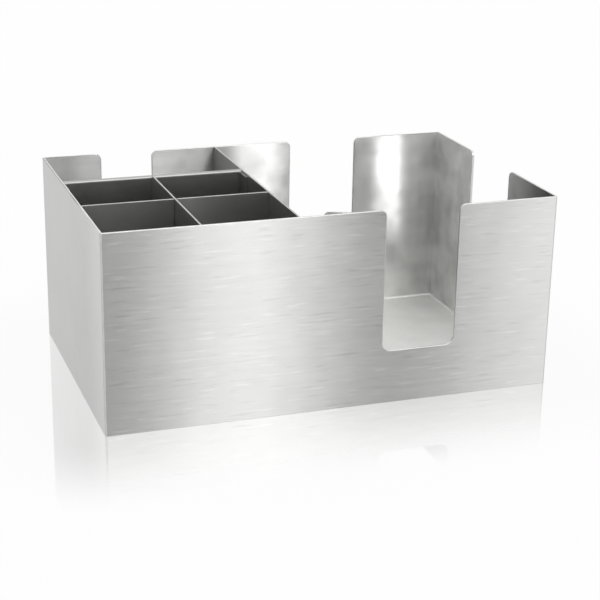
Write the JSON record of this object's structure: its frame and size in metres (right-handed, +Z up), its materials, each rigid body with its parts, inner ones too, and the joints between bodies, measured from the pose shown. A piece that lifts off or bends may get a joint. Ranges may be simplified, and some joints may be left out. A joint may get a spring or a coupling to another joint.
{
  "type": "bar caddy with drawer",
  "caption": "Open rectangular steel caddy with divided cells, a notched napkin bay and a shallow drawer that slides out at the back under the cells.",
  "frame": {"origin": "middle of the body's footprint, on the surface it stands on", "axes": "+Z up, +X along the width towards the napkin bay's side wall, -Y towards the front wall; the drawer opens along +Y"},
  "size_m": [0.24, 0.165, 0.104],
  "materials": {
    "brushed_sheet": "long-grain brushed stainless sheet",
    "mill_finish_sheet": "bright cold-rolled stainless sheet",
    "polished_steel": "turned and polished stainless",
    "screw_steel": "plain stainless fastener",
    "nylon": "extruded nylon strip",
    "rubber": "moulded rubber"
  },
  "bodies": {
    "caddy": {"front_panel": "brushed_sheet", "back_panel": "brushed_sheet", "left_side_panel": "brushed_sheet", "right_side_panel": "brushed_sheet", "base_pan": "mill_finish_sheet", "section_partition": "mill_finish_sheet", "rear_divider": "mill_finish_sheet", "middle_divider": "mill_finish_sheet", "centre_divider": "mill_finish_sheet", "cell_floor": "mill_finish_sheet", "left_runner": "nylon", "right_runner": "nylon", "closing_bumpers": "rubber"},
    "drawer": {"drawer_tray": "mill_finish_sheet", "drawer_front": "brushed_sheet", "drawer_knob": "polished_steel", "knob_screw": "screw_steel", "knob_washer": "screw_steel"}
  },
  "joints": [
    {"name": "drawer_slide", "type": "slide", "parent": "caddy", "child": "drawer", "axis": [0, 1, 0], "range_m": [0, 0.1095]}
  ]
}
